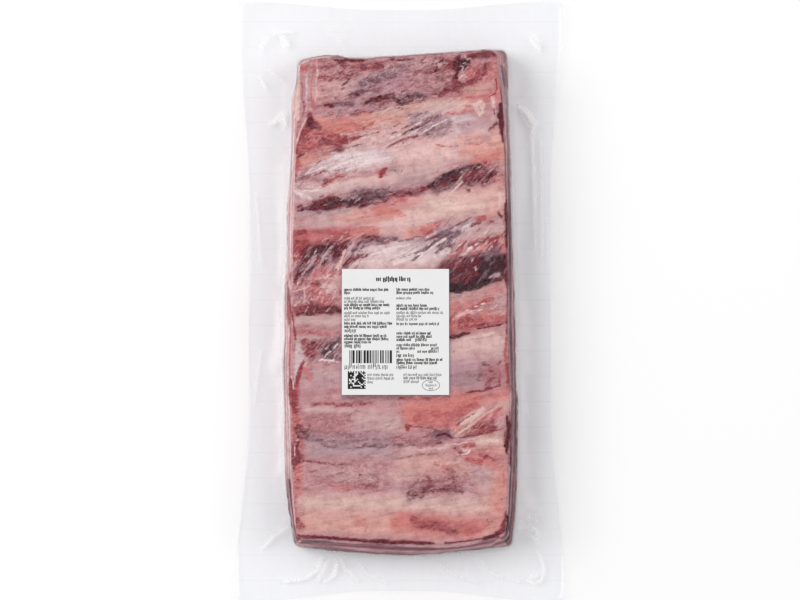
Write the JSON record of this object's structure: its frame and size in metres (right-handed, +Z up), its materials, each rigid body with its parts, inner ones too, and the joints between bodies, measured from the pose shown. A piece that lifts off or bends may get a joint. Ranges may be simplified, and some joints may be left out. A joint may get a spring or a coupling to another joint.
{
  "type": "vacuum-packed beef ribs",
  "caption": "Flat slab of raw beef ribs, bone side up, in a clear vacuum bag with a wide flat margin and a plain printed paper label on top.",
  "frame": {"origin": "on the table, under the middle of the bag", "axes": "+Y along the rack from its wide foot to its narrow head, +X along the rib bones, +Z up from the table"},
  "size_m": [0.1874, 0.345, 0.0312],
  "materials": {
    "film": "clear glossy film clinging to raw meat",
    "label_paper": "smooth white thermal paper with black print",
    "beef": "moist raw meat, cream fat and bone skin"
  },
  "bodies": {
    "root": {"vacuum_bag": "film", "label": "label_paper"}
  },
  "joints": []
}
